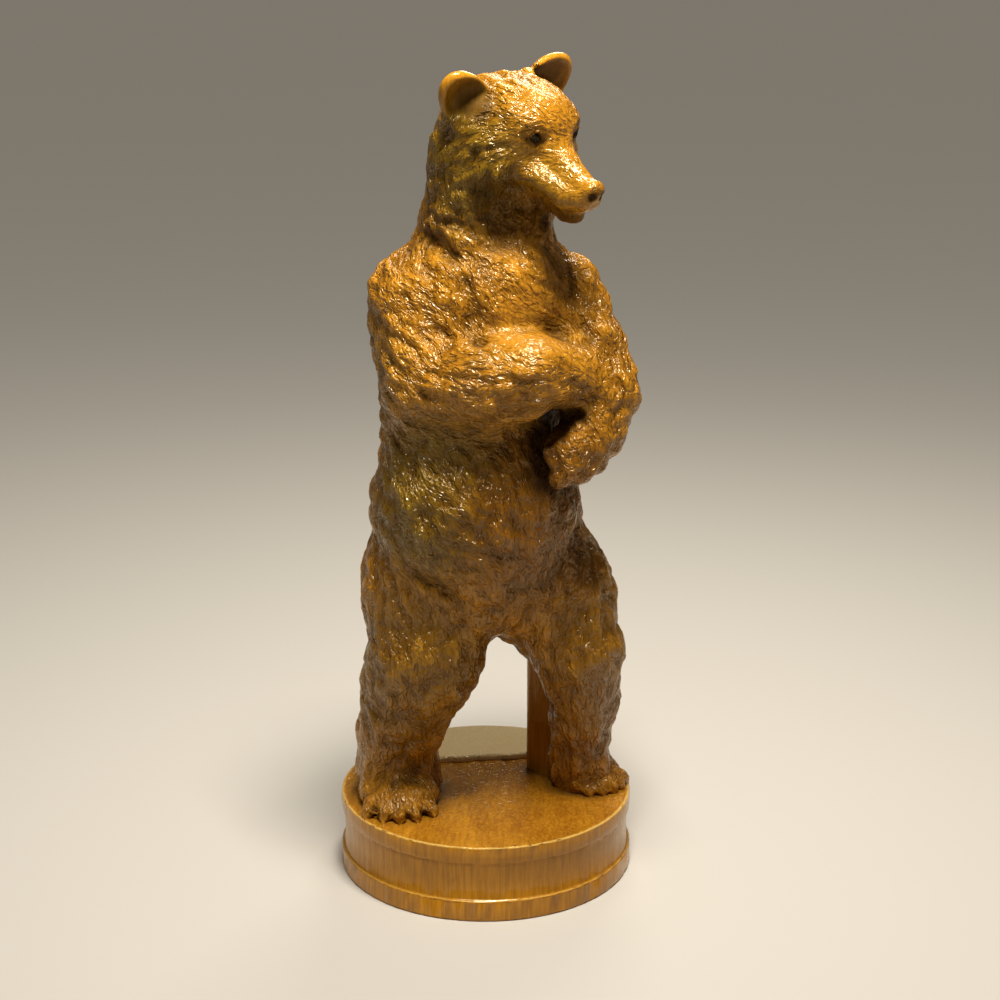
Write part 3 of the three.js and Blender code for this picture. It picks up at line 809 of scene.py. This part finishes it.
def cut_coat(points, normals, flow):
    """Moves the skin's points in and out. Returns them, their heights and their locks."""
    locks = Locks(points, flow, SEED)
    ridges = creased(streaks(points, flow, SEED + 1, cell=1.4, behind=1.5, ahead=2.4))
    strands = streaks(points, flow, SEED + 2, cell=0.80, behind=0.9, ahead=1.4)
    swells = creased(streaks(points, flow, SEED + 3, cell=3.4, behind=2.0, ahead=3.0))
    height = RELIEF["swells"] * swells + RELIEF["ridges"] * ridges + RELIEF["strands"] * strands
    height += RELIEF["locks"] * locks.height
    height *= coat_depth(points, snout_share=0.93, face_share=0.90, ear_share=0.97, arm_share=0.6)
    return points + normals * height[:, None], height, locks


def shelter(lattice, points, normals):
    """How deep in a hollow each point lies, from 0 in the open to about 1 in a deep one."""
    total = np.zeros(len(points))
    reaches = (1.0, 2.0, 3.5, 5.0)
    for reach in reaches:
        total += 1 - np.clip(lattice.sample(points + normals * reach) / reach, 0, 1)
    return total / len(reaches)


# Painted shade in the nostrils, the eye sockets, the mouth and under the chin, and the dark of the eyes. In
# the head's own frame, and mirrored: a place, how far it goes, its soft edge and how dark it is.
DARK_SPOTS = [
    ((0.8, -13.2, -3.5), 0.40, 0.5, 1),  # nostrils
    ((3.1, -6.05, 1.25), 0.60, 0.25, 1),  # eyes
    ((3.4, -5.8, 1.7), 1.1, 0.8, 0.50),  # eye sockets
    ((5, -4.6, -5.6), 1.2, 0.8, 0.7),  # corners of the mouth
    ((3, -7.6, -6.1), 0.7, 0.7, 0.7),  # the line of the mouth
    ((1.4, -10.4, -5.9), 0.5, 0.6, 0.6),
    ((0, -9.8, -7.1), 1.2, 1.3, 0.70),  # under the chin
]
EAR_HOLLOWS = ((-6.9, 0.3, 4.3), (5.4, 0.3, 5.6))  # painted shade in the ears' hollows, in the head's own frame
UNDER_JAW = ((-2.4, -6.4, 80.6), (0.4, -6.8, 79), (-0.6, -6.8, 76.6))  # painted shadow of the head on the throat, under the jaw


# Painted shade at the spots on the head, in the ears and on the throat, and the dark of the eyes
def dark_spots(points):
    spots = [(face_point(side * x, y, z), *rest) for (x, y, z), *rest in DARK_SPOTS for side in (-1, 1)]
    spots += [(face_point(*place), 1.8, 1.3, 0.68) for place in EAR_HOLLOWS]
    spots += [(place, 1.2, 2.6, 0.62) for place in UNDER_JAW]
    return np.maximum.reduce([share * near(points, *spot) for *spot, share in spots])


OLIVE = [  # where a greenish cast of reflected light is painted on shaded sides: a place, how far it goes, how much
    ((-9, -7, 48), 5.5, 1),
    ((-4, -4, 84), 4, 1),
    ((2.5, -9.5, 82), 1, 0.7),
    ((-11, -4, 26), 6, 0.6),
    ((-12, 2, 60), 4, 0.5),
    ((12, -8, 26), 5, 0.5),
]


# Painted reflected light: how strongly the greenish cast tints each point
def greenness(points):
    return np.maximum.reduce([share * near(points, place, size, 7.0) for place, size, share in OLIVE])


def ruddiness(points):
    """Redder and darker towards the bottom, on the legs and the plinth, fully on the left and a little on the
    right; and as painted shade on the belly under the arms and on the left paw.
    """
    down = 1 - smooth_step(points[:, 2], 10.0, 44.0)
    down *= 0.6 + 0.4 * smooth_step(points[:, 2], PLINTH_TOP + 2, PLINTH_TOP + 6)
    down *= 0.5 + 0.5 * smooth_step(points[:, 0], -8.0, 2.0)
    # Painted shade on the belly under the arms and on the left paw
    belly = near(points, (3.0, -11.0, 44.0), 6.0, 9.0)
    paw = near(points, (5.6, -13.0, 52.6), 2.5, 4.0)
    return np.maximum.reduce([down, 0.95 * belly, 0.7 * paw])


def rim_highlights(points):
    """Where a highlight is painted lighter: the plinth's top edge and the foot ring's."""
    radius = np.hypot(points[:, 0], points[:, 1])
    at_top = (points[:, 2] > PLINTH_TOP - 0.11) & (radius > LIP_RADIUS - 0.2)
    at_foot = (np.abs(points[:, 2] - FOOT_BAND) < 0.1) & (radius > WAIST_RADIUS + 0.2)
    return np.maximum(at_top, 0.6 * at_foot)


# ---- meshes


def new_object(name, vertices, faces):
    mesh = bpy.data.meshes.new(name)
    mesh.from_pydata(np.asarray(vertices).tolist(), [], [list(map(int, face)) for face in faces])
    mesh.update()
    piece = bpy.data.objects.new(name, mesh)
    bpy.context.scene.collection.objects.link(piece)
    return piece


def join_solids(piece, other):
    """Makes one closed skin of two that overlap."""
    joiner = piece.modifiers.new("join", "BOOLEAN")
    joiner.operation = "UNION"
    joiner.solver = "EXACT"
    joiner.object = other
    shape = bpy.data.meshes.new_from_object(piece.evaluated_get(bpy.context.evaluated_depsgraph_get()))
    piece.modifiers.clear()
    piece.data = shape
    bpy.data.objects.remove(other)


def positions(mesh):
    flat = np.empty(3 * len(mesh.vertices), np.float32)
    mesh.vertices.foreach_get("co", flat)
    return flat.reshape(-1, 3).astype(float)


def store(mesh, name, values, kind="FLOAT", domain="POINT"):
    field = {"FLOAT": "value", "FLOAT_VECTOR": "vector"}[kind]
    mesh.attributes.new(name, kind, domain).data.foreach_set(field, np.asarray(values, np.float32).ravel())


def carve_piece():
    lattice = Lattice(BODY_STEP)
    for shape in bear():
        lattice.carve(shape)
    piece = new_object("bear_on_plinth", *skin(lattice))
    join_solids(piece, new_object("plinth", *plinth()))
    join_solids(piece, new_object("ledge", *ledge()))
    mesh = piece.data
    points = positions(mesh)
    gap = lattice.sample(points)
    on_bear = (np.abs(gap) < 0.25) & (points[:, 2] > PLINTH_TOP + 0.01)
    normals = lattice.slope(points[on_bear], reach=0.35)
    flow = Flow(lattice)
    height = np.zeros(len(points))
    points[on_bear], height[on_bear], locks = cut_coat(points[on_bear], normals, flow)
    way = np.tile(UP, (len(points), 1))
    way[on_bear] = locks.ways[locks.owner]
    offset = np.zeros_like(points)
    offset[on_bear] = locks.offsets[locks.owner]
    fur = np.zeros(len(points))
    fur[on_bear] = coat_depth(points[on_bear], snout_share=0.60, face_share=0.35,
                              ear_share=0.95, arm_share=0.5)
    on_top = (points[:, 2] > PLINTH_TOP - 0.05) & ~on_bear
    shade_and_stain = np.zeros(len(points))
    # Painted shade, with some varnish pooled there: the deeper a point lies in a hollow, the darker it is
    # painted
    hollows = np.minimum(shelter(lattice, points[on_bear], normals), DEEPEST_HOLLOW)
    shade_and_stain[on_bear] = np.maximum(hollows, dark_spots(points[on_bear]))
    # Painted shade on the plinth's top around the feet and the ledge
    shade_and_stain[on_top] = 0.7 * shelter(lattice, points[on_top], np.array(UP))
    on_ledge = (points[:, 2] > PLINTH_TOP + 0.02) & ~on_bear
    # These fields carry painted light: shade in hollows with pooled varnish, a greenish cast of reflected
    # light, shade on the belly and the left paw, and highlights on the plinth's rims
    fields = {"fur": fur, "height": height, "shade_and_stain": shade_and_stain, "top": on_top, "ledge": on_ledge,
              "rim_highlight": rim_highlights(points) * ~on_bear, "olive": greenness(points), "ruddy": ruddiness(points)}
    for name, values in fields.items():
        store(mesh, name, values)
    marks = face_marks(mesh)
    store(mesh, "way", way[marks], "FLOAT_VECTOR", "FACE")
    store(mesh, "offset", offset[marks], "FLOAT_VECTOR", "FACE")
    mesh.vertices.foreach_set("co", (points * unit).astype(np.float32).ravel())
    mesh.update()
    mesh.shade_smooth()
    for face in mesh.polygons:
        face.use_smooth = abs(face.normal.z) < 0.999
    return piece


def face_marks(mesh):
    """The vertex that speaks for each face: the highest-numbered of its corners."""
    return np.array([max(face.vertices) for face in mesh.polygons])


# ---- materials


class Graph:
    """Short ways to wire a material's nodes."""

    def __init__(self, name):
        self.material = bpy.data.materials.new(name)
        self.material.use_nodes = True
        self.nodes = self.material.node_tree.nodes
        self.links = self.material.node_tree.links
        self.shader = self.nodes["Principled BSDF"]

    def node(self, kind, settings=None, **inputs):
        """A new node with its inputs fed; the name _0 stands for input number 0."""
        made = self.nodes.new("ShaderNode" + kind)
        for name, value in (settings or {}).items():
            setattr(made, name, value)
        for name, value in inputs.items():
            self.feed(made.inputs[int(name[1:]) if name[0] == "_" else name.replace("_", " ")], value)
        return made

    def feed(self, socket, value):
        if isinstance(value, bpy.types.NodeSocket):
            self.links.new(value, socket)
        else:
            socket.default_value = value

    def finish(self, inputs):
        for name, value in inputs.items():
            self.feed(self.shader.inputs[name], value)

    def attribute(self, name, output="Fac"):
        return self.node("Attribute", {"attribute_name": name}).outputs[output]

    def sum(self, a, b):
        return self.node("Math", {"operation": "ADD"}, _0=a, _1=b).outputs[0]

    def product(self, a, b):
        return self.node("Math", {"operation": "MULTIPLY"}, _0=a, _1=b).outputs[0]

    def scaled(self, vector, factor):
        return self.node("VectorMath", {"operation": "SCALE"}, _0=vector, Scale=factor).outputs[0]

    def vector_sum(self, a, b):
        return self.node("VectorMath", {"operation": "ADD"}, _0=a, _1=b).outputs[0]

    def dot(self, a, b):
        return self.node("VectorMath", {"operation": "DOT_PRODUCT"}, _0=a, _1=b).outputs["Value"]

    def noise(self, place, cell, detail=2.0, roughness=0.5):
        made = self.node("TexNoise", Vector=place, Scale=1 / cell, Detail=detail, Roughness=roughness)
        return made.outputs["Fac"]

    def ramp(self, value, *stops):
        """A smooth ramp of numbers or colours through (position, value) stops."""
        made = self.node("ValToRGB", Fac=value)
        ramp = made.color_ramp
        while len(ramp.elements) < len(stops):
            ramp.elements.new(0.5)
        for element, (position, shade) in zip(ramp.elements, stops):
            element.position = position
            element.color = (shade, shade, shade, 1) if isinstance(shade, (int, float)) else (*shade, 1)
        return made.outputs["Color"]

    def mix(self, share, a, b, blend="MIX"):
        made = self.node("Mix", {"data_type": "RGBA", "blend_type": blend, "clamp_factor": True})
        for socket, value in ((made.inputs[0], share), (made.inputs[6], a), (made.inputs[7], b)):
            self.feed(socket, (*value, 1) if isinstance(value, tuple) and len(value) == 3 else value)
        return made.outputs[2]


def combed(graph, place, way, stretch):
    """Places drawn out along the lie, so that round noise turns into strokes."""
    along = graph.product(graph.dot(place, way), 1 / stretch - 1)
    return graph.vector_sum(place, graph.scaled(way, along))


WOOD = {
    "amber": (0.66, 0.310, 0.022),
    "deep amber": (0.52, 0.235, 0.016),
    # painted greenish cast of reflected light on shaded sides
    "olive": (0.165, 0.120, 0.011),
    # darker and redder low down; painted shade on the belly and the left paw
    "ruddy": (0.25, 0.098, 0.005),
    "dark grain": (0.13, 0.040, 0.002),
    # painted shade in the coat's grooves
    "groove": (0.075, 0.026, 0.0015),
    "dull patch": (0.20, 0.062, 0.003),
    "pale speck": (0.62, 0.31, 0.028),
    # painted highlight on the plinth's rims
    "rim highlight": (0.80, 0.55, 0.16),
    # painted shade in hollows, with some pooled varnish
    "hollow": (0.036, 0.009, 0.0008),
    # the eyes' dark, and painted shade deep in the nostrils
    "pupil": (0.006, 0.003, 0.001),
    "bare": (0.90, 0.64, 0.28),
    "bare, pale": (0.98, 0.83, 0.50),
}
TOP_GRAIN = (0.37, 0.93, 0.0)  # the way of the grain on the plinth's top
LEDGE_GRAIN = (0.80, 0.60, 0.0)
BUMP_HEIGHT = 0.26  # mm


def varnished_wood():
    graph = Graph("varnished_wood")
    place = graph.scaled(graph.node("TexCoord").outputs["Object"], 1 / unit)
    names = ("fur", "height", "shade_and_stain", "olive", "ruddy", "top", "ledge", "rim_highlight")
    fur, height, shade_and_stain, olive, ruddy, top, ledge, rim_highlight = (graph.attribute(name) for name in names)

    wander = graph.node("TexNoise", Vector=place, Scale=1 / 1.3, Detail=1.0).outputs["Color"]
    wavy = graph.vector_sum(place, graph.scaled(graph.vector_sum(wander, (-0.5, -0.5, -0.5)), 0.9))
    way = graph.attribute("way", "Vector")
    hair_place = graph.vector_sum(combed(graph, wavy, way, 3.0), graph.attribute("offset", "Vector"))
    strands = graph.noise(hair_place, 0.52, 2.0, 0.5)
    ridges = graph.ramp(strands, (0.34, 0.0), (0.50, 0.6), (0.62, 1.0))
    fine = graph.noise(hair_place, 0.24, 1.0)
    upright = graph.noise(combed(graph, place, UP, 14.0), 0.38, 3.0, 0.65)
    across_top = graph.noise(combed(graph, place, TOP_GRAIN, 5.0), 0.5, 3.0, 0.65)
    grain = graph.mix(top, upright, across_top)
    patches = graph.noise(place, 7.0, 2.0)
    worm = graph.noise(combed(graph, wavy, TOP_GRAIN, 2.2), 0.28, 1.0)
    specks = graph.product(graph.ramp(worm, (0.42, 0.0), (0.64, 1.0)), top)
    marks = graph.noise(combed(graph, place, LEDGE_GRAIN, 6.0), 0.35, 2.0)
    blotches = graph.noise(combed(graph, place, TOP_GRAIN, 2.5), 2.6, 2.0)

    # Painted shade and highlight on the carved coat: the raised strands lighter, the grooves between them
    # darker
    high = graph.ramp(graph.sum(graph.product(height, 1.3), 0.5), (0.15, 0.0), (0.8, 1.0))
    amber = graph.mix(patches, WOOD["amber"], WOOD["deep amber"])
    # A painted greenish cast of reflected light on the shaded sides
    golden = graph.mix(graph.product(olive, 0.85), amber, WOOD["olive"])
    # Darker and redder low down, and painted shade on the belly and the left paw
    golden = graph.mix(graph.product(ruddy, 0.85), golden, WOOD["ruddy"])
    streak = graph.ramp(grain, (0.38, 0.0), (0.60, 1.0))
    streaked = graph.mix(streak, graph.mix(0.38, golden, WOOD["dark grain"]), golden)
    ridge_tone = graph.sum(graph.product(ridges, 0.34), 0.66)
    hair_tone = graph.product(graph.sum(graph.product(high, 0.55), 0.45), ridge_tone)
    tone = graph.mix(fur, (1.0, 1.0, 1.0), hair_tone)
    colour = graph.mix(tone, WOOD["groove"], streaked)
    dull = graph.product(graph.ramp(blotches, (0.38, 1.0), (0.62, 0.0)), top)
    colour = graph.mix(graph.product(dull, 0.5), colour, WOOD["dull patch"])
    colour = graph.mix(graph.product(specks, 0.28), colour, WOOD["pale speck"])
    # A painted highlight along the plinth's rims
    colour = graph.mix(graph.product(rim_highlight, 0.7), colour, WOOD["rim highlight"])
    # Painted shade in the hollows, with some pooled varnish
    depth = graph.ramp(shade_and_stain, (0.22, 0.0), (0.80, 1.0))
    colour = graph.mix(graph.product(depth, 0.9), colour, WOOD["hollow"])
    # Near black: the eyes, and painted shade deep in the nostrils
    black = graph.ramp(shade_and_stain, (0.86, 0.0), (0.98, 1.0))
    colour = graph.mix(black, colour, WOOD["pupil"])
    bare = graph.mix(marks, WOOD["bare"], WOOD["bare, pale"])
    colour = graph.mix(ledge, colour, bare)
    roughness = graph.sum(graph.ramp(patches, (0.3, 0.20), (0.7, 0.32)), graph.product(depth, 0.4))
    roughness = graph.mix(ledge, roughness, (0.8, 0.8, 0.8))
    matt = graph.sum(depth, ledge)
    furred = graph.product(graph.sum(ridges, graph.product(fine, 0.35)), fur)
    relief = graph.sum(graph.sum(furred, graph.product(grain, 0.10)), graph.product(specks, 0.15))
    bump = graph.node("Bump", Height=relief, Strength=1.0, Distance=BUMP_HEIGHT * unit).outputs["Normal"]
    graph.finish({
        "Base Color": colour,
        "Roughness": roughness,
        "Specular IOR Level": 0.35,
        "Specular Tint": (1.0, 0.82, 0.45, 1),
        "Coat Weight": graph.ramp(matt, (0.0, 0.5), (0.7, 0.0)),
        "Coat Roughness": 0.11,
        "Coat Tint": (1.0, 0.88, 0.60, 1),
        "Normal": bump,
        "Coat Normal": bump,
    })
    return graph.material


# ---- the studio


def light(name, kind, energy, colour, tilt, turn):
    holder = bpy.data.objects.new(name, bpy.data.lights.new(name, kind))
    holder.data.energy = energy
    holder.data.color = colour
    holder.rotation_euler = (tilt, 0, turn)
    bpy.context.scene.collection.objects.link(holder)
    return holder


def sun(strength, elevation, azimuth, softness):
    """A distant soft light; azimuth 0 comes from the bear's front, and minus from its right."""
    tilt, turn = math.radians(90 - elevation), math.radians(azimuth)
    holder = light("sun", "SUN", strength, (1.0, 0.95, 0.86), tilt, turn)
    holder.data.angle = math.radians(softness)


def lamp(watts, distance, size, elevation, azimuth, target_height):
    """A soft light near the bear, so that what is further from it is dimmer."""
    tilt, turn = math.radians(90 - elevation), math.radians(azimuth)
    holder = light("lamp", "AREA", watts, (1.0, 0.94, 0.84), tilt, turn)
    holder.data.size = size * unit
    away = Vector((math.sin(turn) * math.sin(tilt), -math.cos(turn) * math.sin(tilt), math.cos(tilt)))
    holder.location = (Vector((0, 0, target_height)) + distance * away) * unit


def camera():
    """Stands where it sees the bear a little from its right and from above."""
    azimuth = math.radians(22)
    aside, back, height = 1.72, 222.45, 110.33
    place = Vector((aside * math.cos(azimuth) - back * math.sin(azimuth),
                    -aside * math.sin(azimuth) - back * math.cos(azimuth), height))
    pitch = math.radians(16.38)
    lens = bpy.data.cameras.new("camera")
    lens.sensor_width = 36
    lens.lens = 72
    lens.clip_start = 0.01
    holder = bpy.data.objects.new("camera", lens)
    holder.location = place * unit
    holder.rotation_euler = (math.radians(90) - pitch, 0, -azimuth)
    bpy.context.scene.collection.objects.link(holder)
    bpy.context.scene.camera = holder


def studio():
    side = 6000 * unit
    corners = [(-side, -side, 0), (side, -side, 0), (side, side, 0), (-side, side, 0)]
    floor = new_object("floor", corners, [(0, 1, 2, 3)])
    paper = Graph("floor_paper")
    paper.finish({"Base Color": (0.56, 0.53, 0.48, 1), "Roughness": 0.9})
    floor.data.materials.append(paper.material)
    world = bpy.data.worlds.new("studio")
    world.use_nodes = True
    sky = world.node_tree.nodes["Background"].inputs
    sky["Color"].default_value = (1.0, 0.93, 0.82, 1)
    sky["Strength"].default_value = 0.08
    bpy.context.scene.world = world
    bpy.context.scene.view_settings.view_transform = "Standard"
    sun(strength=1.0, elevation=66, azimuth=-32, softness=9)
    lamp(watts=0.52, distance=150, size=46, elevation=72, azimuth=0, target_height=78)
    lamp(watts=0.11, distance=170, size=60, elevation=48, azimuth=145, target_height=40)


piece = carve_piece()
piece.data.materials.append(varnished_wood())
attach(piece, "root")
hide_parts(NODE)
studio()
camera()
